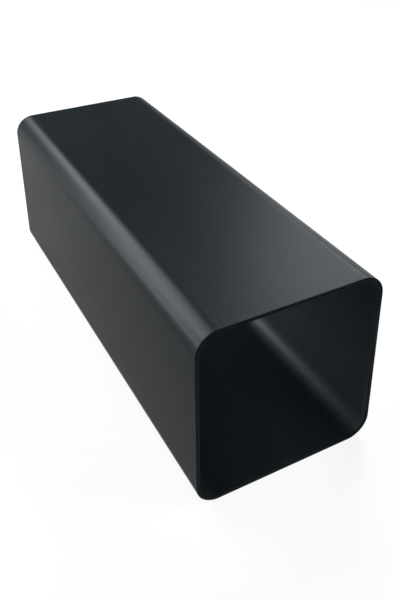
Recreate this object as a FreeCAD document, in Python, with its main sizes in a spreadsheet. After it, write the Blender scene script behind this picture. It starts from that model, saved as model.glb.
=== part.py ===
"""Channel duct: one extruded length of rigid plastic ventilation duct.

The section is a rectangle with rounded corners and an even wall, open at both ends, and the ends are
sawn square and deburred. The duct lies on its lower face: X runs across it, Y along it and Z up, and
the origin is in the middle of that face. All sizes are in millimetres.
"""

import FreeCAD
import Part
import Sketcher

import math
import os

PARTS_FOLDER = "parts"

# Driving dimensions: the name of each cell, its value and what it measures.
SIZES = [
    ("duct_width", 100.0, "outside of the section, across"),
    ("duct_height", 100.0, "outside of the section, up"),
    ("duct_length", 270.0, "from one sawn end to the other"),
    ("wall_thickness", 2.0, "the same all the way round the section"),
    ("corner_radius", 12.0, "outside of each corner of the section"),
    ("least_bore_radius", 0.5, "corner of the bore where the wall is thicker than the outer radius"),
    ("end_chamfer", 0.4, "deburred edge round each sawn end, inside and outside"),
]

# Edges of a rounded rectangle, in the order in which they are drawn, anticlockwise from the bottom.
BOTTOM, LOWER_RIGHT, RIGHT, UPPER_RIGHT, TOP, UPPER_LEFT, LEFT, LOWER_LEFT = range(8)
EDGE_COUNT = LOWER_LEFT + 1

# A sketch's own numbers for the start and the end of an edge, and for its origin point.
START, END = range(1, 3)
ORIGIN_POINT = (-1, 1)


def make_size_sheet(doc):
    """The spreadsheet whose named cells drive every size of the duct."""
    sheet = doc.addObject("Spreadsheet::Sheet", "sizes")
    for row, (name, value, meaning) in enumerate(SIZES, start=1):
        sheet.set(f"A{row}", meaning)
        sheet.set(f"B{row}", str(value))
        sheet.setAlias(f"B{row}", name)
    doc.recompute()
    return sheet


def rounded_rectangle_edges(width, height, radius):
    """Four straight sides and four quarter arcs, centred on the sketch's origin."""
    side, top = width / 2, height / 2
    arc_x, arc_y = side - radius, top - radius

    def straight(x0, y0, x1, y1):
        return Part.LineSegment(FreeCAD.Vector(x0, y0, 0), FreeCAD.Vector(x1, y1, 0))

    def quarter(x, y, first_quarter):
        circle = Part.Circle(FreeCAD.Vector(x, y, 0), FreeCAD.Vector(0, 0, 1), radius)
        first_angle = first_quarter * math.pi / 2
        return Part.ArcOfCircle(circle, first_angle, first_angle + math.pi / 2)

    return [
        straight(-arc_x, -top, arc_x, -top),
        quarter(arc_x, -arc_y, 3),
        straight(side, -arc_y, side, arc_y),
        quarter(arc_x, arc_y, 0),
        straight(arc_x, top, -arc_x, top),
        quarter(-arc_x, arc_y, 1),
        straight(-side, arc_y, -side, -arc_y),
        quarter(-arc_x, -arc_y, 2),
    ]


def draw_rounded_rectangle(sketch, name, width, height, radius):
    """Adds one rounded rectangle to the sketch and ties its sizes to the sheet.

    Each of the three sizes is a pair: the value that it is drawn with, and the expression that drives it.
    """
    first = len(sketch.Geometry)
    sketch.addGeometry(rounded_rectangle_edges(width[0], height[0], radius[0]), False)
    for edge in range(EDGE_COUNT):
        following = (edge + 1) % EDGE_COUNT
        sketch.addConstraint(Sketcher.Constraint("Tangent", first + edge, END, first + following, START))
    for edge in (BOTTOM, TOP):
        sketch.addConstraint(Sketcher.Constraint("Horizontal", first + edge))
    for edge in (RIGHT, LEFT):
        sketch.addConstraint(Sketcher.Constraint("Vertical", first + edge))
    for corner in (UPPER_RIGHT, UPPER_LEFT, LOWER_LEFT):
        sketch.addConstraint(Sketcher.Constraint("Equal", first + LOWER_RIGHT, first + corner))
    sketch.addConstraint(
        Sketcher.Constraint("Symmetric", first + BOTTOM, START, first + TOP, START, *ORIGIN_POINT)
    )

    measures = [
        ("width", width, ("DistanceX", first + LEFT, END, first + RIGHT, START)),
        ("height", height, ("DistanceY", first + BOTTOM, END, first + TOP, START)),
        ("radius", radius, ("Radius", first + LOWER_RIGHT)),
    ]
    for measure, (value, expression), where in measures:
        number = sketch.addConstraint(Sketcher.Constraint(*where, value))
        sketch.renameConstraint(number, f"{name}_{measure}")
        sketch.setExpression(f"Constraints.{name}_{measure}", expression)


def make_section(body, sheet):
    """The die's section: the outside and the bore, drawn across the duct on its middle plane.

    The sketch is raised by half the height, so that the lower side lies on the plane the duct rests on.
    """
    section = body.newObject("Sketcher::SketchObject", "section")
    across = next(plane for plane in body.Origin.OriginFeatures if plane.Role == "XZ_Plane")
    section.AttachmentSupport = [(across, "")]
    section.MapMode = "FlatFace"
    section.setExpression("AttachmentOffset.Base.y", "sizes.duct_height / 2")

    draw_rounded_rectangle(
        section,
        "outside",
        width=(sheet.duct_width, "sizes.duct_width"),
        height=(sheet.duct_height, "sizes.duct_height"),
        radius=(sheet.corner_radius, "sizes.corner_radius"),
    )
    wall = sheet.wall_thickness
    draw_rounded_rectangle(
        section,
        "bore",
        width=(sheet.duct_width - 2 * wall, "sizes.duct_width - 2 * sizes.wall_thickness"),
        height=(sheet.duct_height - 2 * wall, "sizes.duct_height - 2 * sizes.wall_thickness"),
        radius=(
            max(sheet.corner_radius - wall, sheet.least_bore_radius),
            "max(sizes.corner_radius - sizes.wall_thickness; sizes.least_bore_radius)",
        ),
    )
    return section


def extrude_section(body, section):
    """The full length of duct, half of it to each side of the middle plane."""
    extrusion = body.newObject("PartDesign::Pad", "extrusion")
    extrusion.Profile = section
    extrusion.SideType = "Symmetric"
    extrusion.setExpression("Length", "sizes.duct_length")
    body.Document.recompute()
    return extrusion


def deburr_ends(body, extrusion):
    """A small chamfer on the edges of both sawn ends, round the outside and round the bore."""
    along = FreeCAD.Vector(0, 1, 0)
    sawn_ends = []
    for number, face in enumerate(extrusion.Shape.Faces, start=1):
        if isinstance(face.Surface, Part.Plane) and face.Surface.Axis.isParallel(along, 1e-6):
            sawn_ends.append(f"Face{number}")
    deburr = body.newObject("PartDesign::Chamfer", "deburr")
    deburr.Base = (extrusion, sawn_ends)
    deburr.setExpression("Size", "sizes.end_chamfer")
    return deburr


def make_duct(doc, sheet):
    """The whole duct as one body."""
    body = doc.addObject("PartDesign::Body", "duct")
    body.Label = "duct"
    section = make_section(body, sheet)
    extrusion = extrude_section(body, section)
    body.Tip = deburr_ends(body, extrusion)
    doc.recompute()
    return body


def check_document(doc, pieces):
    """Stops the build if any object failed, a sketch is loose or a piece isn't one sound solid."""
    for item in doc.Objects:
        if "Invalid" in item.State or "Error" in item.State:
            raise RuntimeError(f"{item.Label} failed to build: {item.State}")
        if item.isDerivedFrom("Sketcher::SketchObject") and not item.FullyConstrained:
            raise RuntimeError(f"{item.Label} isn't fully constrained")
    for piece in pieces:
        shape = piece.Shape
        if shape.isNull() or not shape.isValid() or len(shape.Solids) != 1:
            raise RuntimeError(f"{piece.Label} isn't one sound solid")


def write_pieces(pieces):
    """One STEP file for each piece, named after it."""
    os.makedirs(PARTS_FOLDER, exist_ok=True)
    for piece in pieces:
        piece.Shape.exportStep(os.path.join(PARTS_FOLDER, f"{piece.Label}.step"))
        box = piece.Shape.BoundBox
        print(
            f"{piece.Label}: {box.XLength:.2f} x {box.YLength:.2f} x {box.ZLength:.2f} mm, "
            f"{piece.Shape.Volume / 1000:.2f} cm3"
        )


def main():
    doc = FreeCAD.newDocument("channel_duct")
    sheet = make_size_sheet(doc)
    pieces = [make_duct(doc, sheet)]
    check_document(doc, pieces)
    write_pieces(pieces)


main()
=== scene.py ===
# %% [markdown]
# # A channel duct in dark plastic
# A channel duct is a hollow strip of rigid plastic that leads air from an extractor to the outside. It
# is extruded: soft plastic is pushed through a die, cooled, and sawn to length. So its whole shape is
# one section and one length, and everything that is left for Blender is in the skin: how the die, the
# saw and the cooling show in the light.
#
# The construction model comes first. It is loaded as a fixed frame, in metres, and its box is kept,
# because the finished piece is built to the size of that box.

# %% Load the frame
import math

import bmesh
import bpy
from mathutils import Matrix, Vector


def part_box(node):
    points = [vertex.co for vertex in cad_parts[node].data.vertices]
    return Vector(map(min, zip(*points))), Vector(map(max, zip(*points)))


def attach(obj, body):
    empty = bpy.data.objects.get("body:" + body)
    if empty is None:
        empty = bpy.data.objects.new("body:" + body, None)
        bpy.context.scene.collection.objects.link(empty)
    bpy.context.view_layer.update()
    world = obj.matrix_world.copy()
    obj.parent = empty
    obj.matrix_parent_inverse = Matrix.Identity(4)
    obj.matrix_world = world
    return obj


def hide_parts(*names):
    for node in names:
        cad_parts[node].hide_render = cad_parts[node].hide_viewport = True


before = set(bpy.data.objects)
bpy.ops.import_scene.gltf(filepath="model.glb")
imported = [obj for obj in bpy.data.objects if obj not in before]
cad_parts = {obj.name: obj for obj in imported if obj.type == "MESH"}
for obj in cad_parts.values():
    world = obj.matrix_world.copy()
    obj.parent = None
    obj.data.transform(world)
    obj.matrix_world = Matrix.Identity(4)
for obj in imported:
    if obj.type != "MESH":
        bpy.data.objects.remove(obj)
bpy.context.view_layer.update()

duct_low, duct_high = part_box("duct")
print("CAD box of the duct in metres:", [round(v, 4) for v in duct_high - duct_low])

# %% [markdown]
# ## The view
# The camera comes first, because every later choice is judged through it. It stands close to the duct,
# left of its near end and above it, which makes the two ends differ so much in size. The lens is shifted
# down a little, as on a view camera, so that the upright edges stay nearly parallel.

# %% Camera
CAMERA_PLACE = (-0.15948, -0.35255, 0.29582)
CAMERA_TURN = math.radians(-28.68)
CAMERA_DIP = math.radians(26.91)
FOCAL_PIXELS = 749.5
LONG_SIDE_PIXELS = 600
SENSOR = 36.0
PICTURE_RISE_PIXELS = 120
PICTURE_RIGHT_PIXELS = 15
NEAREST_SEEN, FURTHEST_SEEN = 0.01, 50.0

lens = bpy.data.cameras.new("view_of_the_duct")
lens.sensor_width = SENSOR
lens.lens = FOCAL_PIXELS * SENSOR / LONG_SIDE_PIXELS
lens.shift_x = -PICTURE_RIGHT_PIXELS / LONG_SIDE_PIXELS
lens.shift_y = -PICTURE_RISE_PIXELS / LONG_SIDE_PIXELS
lens.clip_start, lens.clip_end = NEAREST_SEEN, FURTHEST_SEEN
camera = bpy.data.objects.new("view_of_the_duct", lens)
camera.location = CAMERA_PLACE
camera.rotation_euler = (math.pi / 2 - CAMERA_DIP, 0.0, CAMERA_TURN)
bpy.context.scene.collection.objects.link(camera)
bpy.context.scene.camera = camera
print(f"lens {lens.lens:.1f} mm, shift {lens.shift_y:.3f}")

# %% [markdown]
# ## The section
# The die gives the section: four flat sides, four quarter rounds, one even wall. A list of points round
# the section, each with the direction that points straight out of the surface there, is all that is
# needed. Any other line in the wall is the same list moved inwards, with a smaller corner.

# %% Points round the section
WALL = 0.002
CORNER = 0.012
CORNER_STEPS = 24
SIDE_STEPS = 12
CORNER_SIGNS = ((1, -1), (1, 1), (-1, 1), (-1, -1))

width = duct_high.x - duct_low.x
height = duct_high.z - duct_low.z
half_length = (duct_high.y - duct_low.y) / 2


def section_points():
    """Points round the section, each as (centre x, centre z, out x, out z).

    A line in the wall is centre + radius * out, where the radius is that of the line's own corners.
    """
    centre_x, centre_z = width / 2 - CORNER, height / 2 - CORNER
    points = []
    for quarter, (sign_x, sign_z) in enumerate(CORNER_SIGNS):
        first = (quarter - 1) * math.pi / 2
        for step in range(CORNER_STEPS + 1):
            angle = first + step / CORNER_STEPS * math.pi / 2
            points.append((sign_x * centre_x, sign_z * centre_z, math.cos(angle), math.sin(angle)))
        next_x, next_z = CORNER_SIGNS[(quarter + 1) % len(CORNER_SIGNS)]
        out = (math.cos(first + math.pi / 2), math.sin(first + math.pi / 2))
        for step in range(1, SIDE_STEPS):
            share = step / SIDE_STEPS
            x = (sign_x + (next_x - sign_x) * share) * centre_x
            z = (sign_z + (next_z - sign_z) * share) * centre_z
            points.append((x, z, *out))
    return points


section = section_points()
print("points round the section:", len(section))

# %% [markdown]
# ## The wall from end to end
# Each end is sawn square and its sharp edges are taken off with a scraper, which leaves a tiny round
# that catches the light. Going once round the wall lengthwise - along the outside, over the near end,
# back along the bore and over the far end - gives a second list of points: how deep each lies in the
# wall, how far along the duct, and which way the surface faces there.

# %% Points round the wall
DEBURR = 0.0004
DEBURR_STEPS = 5
RIM_STEPS = 3
LENGTH_STEPS = 36

SKIN, SAWN = 0, 1


def wall_points():
    """Points once round the wall, each as (depth in the wall, place along Y, out, along, finish).

    The surface faces out of the section by the share out, and along the duct by the share along.
    """
    points = []

    def skin(depth, out, start, stop):
        for step in range(1, LENGTH_STEPS):
            y = start + (stop - start) * step / LENGTH_STEPS
            points.append((depth, y, out, 0.0, SKIN))

    def scraped(depth, y, first_angle, turn, along):
        for step in range(DEBURR_STEPS + 1):
            angle = first_angle + turn * step / DEBURR_STEPS * math.pi / 2
            out, end = math.cos(angle), math.sin(angle)
            points.append((depth - DEBURR * out, y + along * DEBURR * end, out, along * end, SAWN))

    def sawn(y, along, start, stop):
        for step in range(1, RIM_STEPS):
            points.append((start + (stop - start) * step / RIM_STEPS, y, 0.0, along, SAWN))

    near, far = -half_length, half_length
    skin(0.0, 1.0, far - DEBURR, near + DEBURR)
    scraped(DEBURR, near + DEBURR, 0.0, 1, -1)
    sawn(near, -1.0, DEBURR, WALL - DEBURR)
    scraped(WALL - DEBURR, near + DEBURR, math.pi / 2, 1, -1)
    skin(WALL, -1.0, near + DEBURR, far - DEBURR)
    scraped(WALL - DEBURR, far - DEBURR, math.pi, -1, 1)
    sawn(far, 1.0, WALL - DEBURR, DEBURR)
    scraped(DEBURR, far - DEBURR, math.pi / 2, -1, 1)
    return points


wall = wall_points()
print("points round the wall:", len(wall))

# %% [markdown]
# ## The mesh
# The two lists make a grid that closes on itself both ways, like the skin of a ring. That gives a closed
# solid of even quads with no seam to weld. The surface's direction is known at every point, so it is
# given to the mesh as its normals, and the flat sides stay truly flat in the light.

# %% Mesh of the duct
CM3_IN_M3 = 1.0e6


def build_duct():
    """One closed mesh, with the finish of each face as its material number."""
    vertices, normals, faces, finishes = [], [], [], []
    middle = height / 2
    for depth, y, out, along, _ in wall:
        radius = CORNER - depth
        for x, z, out_x, out_z in section:
            vertices.append((x + radius * out_x, y, middle + z + radius * out_z))
            normals.append((out * out_x, along, out * out_z))
    kinds = [finish for *_, finish in wall]
    round_count, wall_count = len(section), len(wall)
    for i in range(wall_count):
        j = (i + 1) % wall_count
        here, there = i * round_count, j * round_count
        for k in range(round_count):
            m = (k + 1) % round_count
            faces.append((here + k, here + m, there + m, there + k))
            finishes.append(min(kinds[i], kinds[j]))
    mesh = bpy.data.meshes.new("channel_duct")
    mesh.from_pydata(vertices, [], faces)
    mesh.polygons.foreach_set("material_index", finishes)
    mesh.polygons.foreach_set("use_smooth", [True] * len(faces))
    mesh.validate()
    mesh.normals_split_custom_set_from_vertices(normals)
    mesh.update()
    return mesh


duct = bpy.data.objects.new("channel_duct", build_duct())
bpy.context.scene.collection.objects.link(duct)
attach(duct, "root")
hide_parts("duct")

solid = bmesh.new()
solid.from_mesh(duct.data)
plastic = solid.calc_volume(signed=True) * CM3_IN_M3
print(f"faces of the duct: {len(solid.faces)}, solid plastic: {plastic:.1f} cm3")
solid.free()

# %% [markdown]
# ## Small helpers for shaders
# Every finish below is a small network of nodes. One helper adds a node and fills its sockets, each with
# a plain value or with a link. Three more do the sums that come back most: plain arithmetic, moving a
# value from one range to another, and mixing two colours. The last opens a node group with named
# sockets. The cells that follow then only have to say what is joined to what.

# %% Helpers for nodes


def socket_named(sockets, key):
    """A socket by its number, its identifier or its name."""
    if isinstance(key, int):
        return sockets[key]
    return next((socket for socket in sockets if socket.identifier == key), None) or sockets[key]


def add_node(tree, kind, sockets, **settings):
    """Adds a node, sets its properties and fills the named sockets."""
    node = tree.nodes.new(kind)
    for name, value in settings.items():
        setattr(node, name, value)
    for key, value in sockets.items():
        socket = socket_named(node.inputs, key)
        if isinstance(value, bpy.types.NodeSocket):
            tree.links.new(value, socket)
        else:
            socket.default_value = value
    return node


def math_node(tree, operation, *values):
    """The result of one sum on up to three values or links."""
    return add_node(tree, "ShaderNodeMath", dict(enumerate(values)), operation=operation).outputs[0]


def map_range(tree, value, start, stop, low=0.0, high=1.0, **settings):
    """The value moved from the range start to stop into the range low to high, and kept inside it."""
    sockets = {"Value": value, "From Min": start, "From Max": stop, "To Min": low, "To Max": high}
    return add_node(tree, "ShaderNodeMapRange", sockets, **settings).outputs[0]


def mix_colours(tree, share, first, second):
    """The first colour where the share is 0, and the second where it is 1."""
    sockets = {"Factor_Float": share, "A_Color": first, "B_Color": second}
    node = add_node(tree, "ShaderNodeMix", sockets, data_type="RGBA")
    return socket_named(node.outputs, "Result_Color")


def new_group(name, inputs, outputs):
    """A node group with its named sockets, and the two nodes that lead in and out of it."""
    group = bpy.data.node_groups.new(name, "ShaderNodeTree")
    for socket, kind in inputs.items():
        group.interface.new_socket(name=socket, in_out="INPUT", socket_type=kind)
    for socket, kind in outputs.items():
        group.interface.new_socket(name=socket, in_out="OUTPUT", socket_type=kind)
    return group, group.nodes.new("NodeGroupInput").outputs, group.nodes.new("NodeGroupOutput").inputs


PLACE, SIZE, SHADE = "NodeSocketVector", "NodeSocketFloat", "NodeSocketColor"
print("helpers for nodes are ready")

# %% [markdown]
# ## Group: marks in the surface
# The die leaves very fine lines along the whole length, the saw leaves lines across the cut, and the
# matt skin has a grain finer than either. All three are one effect: a noise that is narrow one way and
# as long as it needs to be the other way. So one group takes a place, a width and a length in metres,
# and gives a height from 0 to 1.

# %% Marks in the surface
NOISE_ROUGHNESS = 0.55


def sized_noise(tree, place, width, length, detail):
    """Noise whose spots are so wide across the duct and so long along it."""
    spot = add_node(tree, "ShaderNodeCombineXYZ", {"X": width, "Y": length, "Z": width}).outputs[0]
    counted = add_node(tree, "ShaderNodeVectorMath", {0: place, 1: spot}, operation="DIVIDE").outputs[0]
    sockets = {"Vector": counted, "Scale": 1.0, "Detail": detail, "Roughness": NOISE_ROUGHNESS}
    return add_node(tree, "ShaderNodeTexNoise", sockets).outputs["Fac"]


surface_marks, given, result = new_group(
    "surface_marks", {"Place": PLACE, "Width": SIZE, "Length": SIZE}, {"Height": SIZE}
)
mark = sized_noise(surface_marks, given["Place"], given["Width"], given["Length"], detail=2.0)
surface_marks.links.new(mark, result["Height"])
print("surface_marks:", len(surface_marks.nodes), "nodes")

# %% [markdown]
# ## Group: cooling clouds
# Plastic never cools quite evenly, so the skin has soft clouds, a little paler and duller than the rest
# and drawn out along the length. A slow noise gives them. The group puts out the mixed colour and the
# cloud itself, because the cloud also steers the roughness.

# %% Cooling clouds
CLOUD_RANGE = (0.3, 0.7)

cooling_clouds, given, result = new_group(
    "cooling_clouds",
    {"Place": PLACE, "Width": SIZE, "Length": SIZE, "Dark": SHADE, "Pale": SHADE},
    {"Color": SHADE, "Cloud": SIZE},
)
slow = sized_noise(cooling_clouds, given["Place"], given["Width"], given["Length"], detail=4.0)
cloud = map_range(cooling_clouds, slow, *CLOUD_RANGE)
shade = mix_colours(cooling_clouds, cloud, given["Dark"], given["Pale"])
cooling_clouds.links.new(shade, result["Color"])
cooling_clouds.links.new(cloud, result["Cloud"])
print("cooling_clouds:", len(cooling_clouds.nodes), "nodes")

# %% [markdown]
# ## Group: handling scuffs
# Lengths of duct are stacked, dragged and pushed together, which leaves hairline scratches in patches.
# Where a long, narrow noise passes through its middle value, it draws a thin line, and a second, slower
# noise keeps the lines to a few patches. Two sets of lines cross at an angle, as real scratches do.

# %% Handling scuffs
NOISE_MIDDLE = 0.5
HAIRLINE = 0.012
SCRATCH_AXIS = (0.5, 0.3, 0.8)
SCRATCH_SLANTS = (20, -35)
PATCH_RANGE = (0.52, 0.70)


def hairlines(tree, place, slant, width, length):
    """Thin lines along one slant in degrees, 1 on the line and 0 beside it."""
    turn = {"Vector": place, "Axis": SCRATCH_AXIS, "Angle": math.radians(slant)}
    slanted = add_node(tree, "ShaderNodeVectorRotate", turn).outputs[0]
    noise = sized_noise(tree, slanted, width, length, detail=1.0)
    off_middle = math_node(tree, "ABSOLUTE", math_node(tree, "SUBTRACT", noise, NOISE_MIDDLE))
    return map_range(tree, off_middle, 0.0, HAIRLINE, low=1.0, high=0.0)


handling_scuffs, given, result = new_group(
    "handling_scuffs", {"Place": PLACE, "Width": SIZE, "Length": SIZE}, {"Scuff": SIZE}
)
scratches = [
    hairlines(handling_scuffs, given["Place"], slant, given["Width"], given["Length"])
    for slant in SCRATCH_SLANTS
]
either = math_node(handling_scuffs, "MAXIMUM", *scratches)
spread_out = sized_noise(handling_scuffs, given["Place"], given["Length"], given["Length"], detail=2.0)
patch = map_range(handling_scuffs, spread_out, *PATCH_RANGE)
handling_scuffs.links.new(math_node(handling_scuffs, "MULTIPLY", either, patch), result["Scuff"])
print("handling_scuffs:", len(handling_scuffs.nodes), "nodes")

# %% [markdown]
# ## The extruded skin
# The skin is a blue-black, matt plastic. Its effects are placed first, each with its own width and
# length in metres: the cooling clouds, slow waves from the haul-off that pulls the duct out of the die,
# fine die lines, the matt grain and the scuffs. The next cells then join them to the shader.

# %% Extruded skin
SKIN_DARK = (0.0059, 0.0078, 0.0089, 1.0)
SKIN_PALE = (0.0072, 0.0094, 0.0107, 1.0)
SKIN_SPECULAR = 0.021


def group_node(tree, group, **sockets):
    """Places a group in a material. Its sockets are named in lower case, as python names."""
    named = {name.capitalize(): value for name, value in sockets.items()}
    return add_node(tree, "ShaderNodeGroup", named, node_tree=group).outputs


def new_finish(name, specular_level):
    """An empty material: its tree, its shader and the place on the duct in metres."""
    finish = bpy.data.materials.new(name)
    finish.use_nodes = True
    shader = finish.node_tree.nodes["Principled BSDF"]
    shader.inputs["Specular IOR Level"].default_value = specular_level
    place = add_node(finish.node_tree, "ShaderNodeTexCoord", {}).outputs["Object"]
    duct.data.materials.append(finish)
    return finish.node_tree, shader, place


tree, shader, place = new_finish("extruded_skin", SKIN_SPECULAR)
clouds = group_node(
    tree, cooling_clouds, place=place, width=0.035, length=0.16, dark=SKIN_DARK, pale=SKIN_PALE
)
waves = group_node(tree, surface_marks, place=place, width=0.030, length=0.20)["Height"]
lines = group_node(tree, surface_marks, place=place, width=0.0011, length=0.35)["Height"]
grain = group_node(tree, surface_marks, place=place, width=0.0004, length=0.0004)["Height"]
scuffs = group_node(tree, handling_scuffs, place=place, width=0.004, length=0.060)["Scuff"]
print("extruded_skin: effects placed with", len(tree.nodes), "nodes")

# %% [markdown]
# The colour is that of the clouds. Handling makes it paler along the scuffs and beside the sawn ends.
# That second wear follows the distance from the nearer end, and the clouds break it up.

# %% Extruded skin: colour
SKIN_SCUFF = (0.020, 0.023, 0.025, 1.0)
END_WEAR = 0.004
END_WEAR_SHARE = 0.5
SCUFF_SHARE = 0.35

where = add_node(tree, "ShaderNodeSeparateXYZ", {"Vector": place}).outputs
from_middle = math_node(tree, "ABSOLUTE", where["Y"])
near_end = map_range(tree, from_middle, half_length - END_WEAR, half_length)
patchy = math_node(tree, "MULTIPLY", near_end, clouds["Cloud"])
end_wear = math_node(tree, "MULTIPLY", patchy, END_WEAR_SHARE)
worn = math_node(tree, "MAXIMUM", math_node(tree, "MULTIPLY", scuffs, SCUFF_SHARE), end_wear)
colour = mix_colours(tree, worn, clouds["Color"], SKIN_SCUFF)
tree.links.new(colour, shader.inputs["Base Color"])
print(f"extruded_skin: worn over {END_WEAR} m at each end")

# %% [markdown]
# A dark plastic looks real by its sheen: its colour hardly varies, but its roughness does, with the
# clouds, the die lines and the wear. The rounded corners rub on everything, so they have a faint polish
# as well. A mask finds them: in a corner, and only there, a point lies past the flat of the side and
# past the flat of the top or bottom. The mask is the weight of a thin, clear coat.

# %% Extruded skin: sheen
SKIN_ROUGHNESS = (0.315, 0.355)
LINE_DULLNESS, WEAR_DULLNESS = 0.04, 0.15
CORNER_POLISH = 0.17
CORNER_POLISH_ROUGHNESS = 0.33
CORNER_POLISH_EDGE = 0.0045

dull = map_range(tree, clouds["Cloud"], 0.0, 1.0, *SKIN_ROUGHNESS)
dull = math_node(tree, "MULTIPLY_ADD", lines, LINE_DULLNESS, dull)
dull = math_node(tree, "MULTIPLY_ADD", worn, WEAR_DULLNESS, dull)
tree.links.new(dull, shader.inputs["Roughness"])

from_side_middle = math_node(tree, "ABSOLUTE", where["X"])
past_side = math_node(tree, "SUBTRACT", from_side_middle, width / 2 - CORNER)
from_half_height = math_node(tree, "ABSOLUTE", math_node(tree, "SUBTRACT", where["Z"], height / 2))
past_top = math_node(tree, "SUBTRACT", from_half_height, height / 2 - CORNER)
in_corner = math_node(tree, "MINIMUM", past_side, past_top)
polish = map_range(tree, in_corner, 0.0, CORNER_POLISH_EDGE, high=CORNER_POLISH)
tree.links.new(polish, shader.inputs["Coat Weight"])
shader.inputs["Coat Roughness"].default_value = CORNER_POLISH_ROUGHNESS
print(f"extruded_skin: roughness from {SKIN_ROUGHNESS[0]}, corners polished by {CORNER_POLISH}")

# %% [markdown]
# The waves, the die lines and the grain are also real heights in the skin. Each is a few hundredths of a
# millimetre at most. They are added up in metres and given to one bump, so that they all bend the
# reflections together.

# %% Extruded skin: relief
SKIN_WAVE, SKIN_LINE, SKIN_GRAIN = 4.0e-5, 4.0e-5, 1.2e-5


def join_relief(tree, shader, relief):
    """Lets a height in metres bend the light on the shader."""
    bump = add_node(tree, "ShaderNodeBump", {"Height": relief, "Distance": 1.0, "Strength": 1.0})
    tree.links.new(bump.outputs["Normal"], shader.inputs["Normal"])


relief = math_node(tree, "MULTIPLY", waves, SKIN_WAVE)
relief = math_node(tree, "MULTIPLY_ADD", lines, SKIN_LINE, relief)
relief = math_node(tree, "MULTIPLY_ADD", grain, SKIN_GRAIN, relief)
join_relief(tree, shader, relief)
print("extruded_skin:", len(tree.nodes), "nodes")

# %% [markdown]
# ## The sawn ends
# A saw blade crosses the wall on a wide arc, so its marks are parts of circles round a point far outside
# the section. The distance from that point is all that the marks group needs. Sawn plastic is duller
# than the skin and has no sheen to speak of, so the rim looks as dark as the bore behind it.

# %% Sawn ends
SAWN_DARK = (0.0030, 0.0040, 0.0046, 1.0)
SAWN_PALE = (0.0045, 0.0060, 0.0068, 1.0)
SAWN_SPECULAR = 0.06
SAW_CENTRE = (0.045, 0.0, -0.11)
ACROSS_ONLY = (1.0, 0.0, 1.0)

tree, shader, place = new_finish("sawn_end", SAWN_SPECULAR)
flat = {0: place, 1: ACROSS_ONLY}
across = add_node(tree, "ShaderNodeVectorMath", flat, operation="MULTIPLY").outputs[0]
from_saw = {0: across, 1: SAW_CENTRE}
arc = add_node(tree, "ShaderNodeVectorMath", from_saw, operation="DISTANCE").outputs["Value"]
blade = add_node(tree, "ShaderNodeCombineXYZ", {"X": arc}).outputs[0]
marks = group_node(tree, surface_marks, place=blade, width=0.0008, length=1.0)["Height"]
grain = group_node(tree, surface_marks, place=place, width=0.0006, length=0.0006)["Height"]
clouds = group_node(
    tree, cooling_clouds, place=place, width=0.012, length=0.012, dark=SAWN_DARK, pale=SAWN_PALE
)
scuffs = group_node(tree, handling_scuffs, place=place, width=0.003, length=0.025)["Scuff"]
print("sawn_end: effects placed with", len(tree.nodes), "nodes")

# %% [markdown]
# The same three things are joined as on the skin: the colour from clouds and scuffs, the roughness from
# the saw marks, and the relief from the marks and the torn grain.

# %% Sawn ends, joined
SAWN_SCUFF = (0.026, 0.030, 0.033, 1.0)
SAWN_SCUFF_SHARE = 0.4
SAWN_ROUGHNESS = (0.58, 0.70)
SAW_MARK, SAWN_GRAIN = 2.0e-5, 8.0e-6

scuffed = math_node(tree, "MULTIPLY", scuffs, SAWN_SCUFF_SHARE)
colour = mix_colours(tree, scuffed, clouds["Color"], SAWN_SCUFF)
tree.links.new(colour, shader.inputs["Base Color"])
tree.links.new(map_range(tree, marks, 0.0, 1.0, *SAWN_ROUGHNESS), shader.inputs["Roughness"])
relief = math_node(tree, "MULTIPLY", marks, SAW_MARK)
relief = math_node(tree, "MULTIPLY_ADD", grain, SAWN_GRAIN, relief)
join_relief(tree, shader, relief)
print("sawn_end:", len(tree.nodes), "nodes")

# %% [markdown]
# ## The floor
# The duct lies on plain white paper. One large square is enough, a hair below the duct, so that the two
# surfaces never share a plane, which would flicker.

# %% Floor
FLOOR_SIZE = 8.0
FLOOR_DROP = 0.0002

floor_mesh = bpy.data.meshes.new("floor")
reach = FLOOR_SIZE / 2
floor_mesh.from_pydata(
    [(-reach, -reach, 0.0), (reach, -reach, 0.0), (reach, reach, 0.0), (-reach, reach, 0.0)],
    [],
    [(0, 1, 2, 3)],
)
floor = bpy.data.objects.new("floor", floor_mesh)
floor.location.z = -FLOOR_DROP
bpy.context.scene.collection.objects.link(floor)
print(f"floor: {FLOOR_SIZE} m square")

# %% [markdown]
# Paper that is lit like the duct would be grey in the picture, so most of its brightness is a glow of
# strength 1 that only the camera and reflections see. The rest is ordinary paper, which takes the soft
# shadow of the duct and throws a little light back at it.

# %% White paper
PAPER = (0.9, 0.9, 0.9, 1.0)
PAPER_GLOW = (0.99, 0.995, 1.0, 1.0)
GLOW_SHARE = 0.89

paper = bpy.data.materials.new("white_paper")
paper.use_nodes = True
tree = paper.node_tree
tree.nodes.clear()
ray = add_node(tree, "ShaderNodeLightPath", {}).outputs
seen = math_node(tree, "MAXIMUM", ray["Is Camera Ray"], ray["Is Glossy Ray"])
seen = math_node(tree, "MAXIMUM", seen, ray["Is Transmission Ray"])
glowing = math_node(tree, "MULTIPLY", seen, GLOW_SHARE)
plain = add_node(tree, "ShaderNodeBsdfDiffuse", {"Color": PAPER}).outputs[0]
glow = add_node(tree, "ShaderNodeEmission", {"Color": PAPER_GLOW, "Strength": 1.0}).outputs[0]
both = add_node(tree, "ShaderNodeMixShader", {"Fac": glowing, 1: plain, 2: glow}).outputs[0]
add_node(tree, "ShaderNodeOutputMaterial", {"Surface": both})
floor_mesh.materials.append(paper)
print("white_paper:", len(tree.nodes), "nodes")

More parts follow.
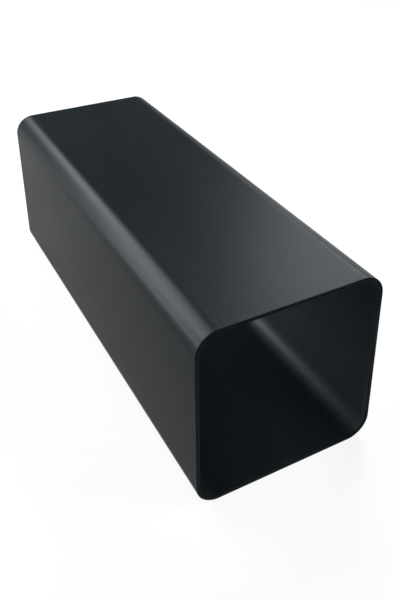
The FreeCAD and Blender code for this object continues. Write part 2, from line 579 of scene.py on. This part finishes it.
# %% [markdown]
# ## The surroundings
# A studio is bright at the foot of its backdrop and dim above it. The world does the same: white at the
# horizon, fading to a dim blue-grey overhead. The flat top of the duct mirrors that dim part, so it
# stays dark, and the lamps alone draw its highlights.

# %% Surroundings
BACKDROP_TOP = 0.15
BACKDROP_WHITE = (1.0, 1.0, 1.0, 1.0)
STUDIO_DIM = (0.020, 0.025, 0.030, 1.0)

world = bpy.data.worlds.new("studio")
bpy.context.scene.world = world
world.use_nodes = True
tree = world.node_tree
tree.nodes.clear()
direction = add_node(tree, "ShaderNodeTexCoord", {}).outputs["Generated"]
rise = add_node(tree, "ShaderNodeSeparateXYZ", {"Vector": direction}).outputs["Z"]
fade = map_range(tree, rise, 0.0, BACKDROP_TOP, interpolation_type="SMOOTHSTEP")
sky = mix_colours(tree, fade, BACKDROP_WHITE, STUDIO_DIM)
background = add_node(tree, "ShaderNodeBackground", {"Color": sky, "Strength": 1.0}).outputs[0]
add_node(tree, "ShaderNodeOutputWorld", {"Surface": background})
print(f"backdrop fades out {math.degrees(math.asin(BACKDROP_TOP)):.1f} degrees above the horizon")

# %% [markdown]
# ## The lamps
# Dark plastic is shown by what it mirrors, so every lamp is a soft panel, which mirrors as a soft patch.
# Most of them are placed as they are seen from the top of the duct: so far round, so high and so far
# away. That makes it easy to say which part of the duct will mirror which panel. The camera itself
# doesn't see any of them.

# %% Helpers for lamps
DUCT_TOP = Vector((0.0, 0.0, duct_high.z))
COOL_WHITE = (0.96, 1.0, 1.03)
WIDE_BEAM = 180.0


def seen_from_top(turn, rise, distance):
    """A place so many degrees right of straight back and above level, seen from the top of the duct."""
    turn, rise = math.radians(turn), math.radians(rise)
    way = Vector((math.sin(turn) * math.cos(rise), math.cos(turn) * math.cos(rise), math.sin(rise)))
    return DUCT_TOP + distance * way


def soft_panel(name, place, aim, size, watts, spread=WIDE_BEAM):
    """A rectangular lamp that faces a point of the duct, with a beam so many degrees wide."""
    lamp = bpy.data.lights.new(name, "AREA")
    lamp.shape = "RECTANGLE"
    lamp.size, lamp.size_y = size
    lamp.color = COOL_WHITE
    lamp.energy = watts
    lamp.spread = math.radians(spread)
    panel = bpy.data.objects.new(name, lamp)
    panel.location = place
    panel.rotation_euler = (Vector(aim) - Vector(place)).to_track_quat("-Z", "Y").to_euler()
    panel.visible_camera = False
    bpy.context.scene.collection.objects.link(panel)
    print(f"{name}: {watts} W, {size[0]} x {size[1]} m")


print("helpers for lamps are ready")

# %% [markdown]
# Three panels stand on an arc behind the duct, from high on the left round to low at its side, where the
# upper left corner mirrors them: they draw the pale band along it, with its dimmer lower edge. A panel
# behind on the right brightens the near right end of the top, and a faint one below it keeps the right
# corner from going black. A weak one in front fills the shadows. Two small ones light the bore, one low
# before the mouth and one behind the far end, which shows the rounded corner inside.

# %% Lamps
soft_panel("panel_left", seen_from_top(-18, 37, 1.0), DUCT_TOP, size=(0.62, 0.46), watts=10.3)
soft_panel("panel_side", seen_from_top(-43, 26, 1.0), DUCT_TOP, size=(0.25, 0.48), watts=6.2)
soft_panel("panel_low", seen_from_top(-52, 5.5, 1.0), DUCT_TOP, size=(0.36, 0.22), watts=3.3)
soft_panel("panel_right", seen_from_top(53, 41, 0.8), DUCT_TOP, size=(0.34, 0.40), watts=11.4)
soft_panel("panel_edge", seen_from_top(57, 9, 0.8), DUCT_TOP, size=(0.26, 0.34), watts=0.35)
soft_panel("panel_front", (-0.30, -1.1, 0.95), (0.0, 0.0, 0.0), size=(1.0, 1.0), watts=3.0)
soft_panel(
    "panel_mouth",
    place=(0.06, -0.19, 0.075),
    aim=(-0.035, -0.12, 0.025),
    size=(0.06, 0.02),
    watts=0.035,
    spread=75.0,
)
soft_panel(
    "panel_bore",
    place=(-0.035, 0.220, 0.030),
    aim=(0.047, -0.10, 0.030),
    size=(0.03, 0.02),
    watts=0.21,
    spread=35.0,
)

# %% [markdown]
# ## Finish
# The colours are shown as they are, without a film look.

# %% Finish
bpy.context.scene.view_settings.view_transform = "Standard"
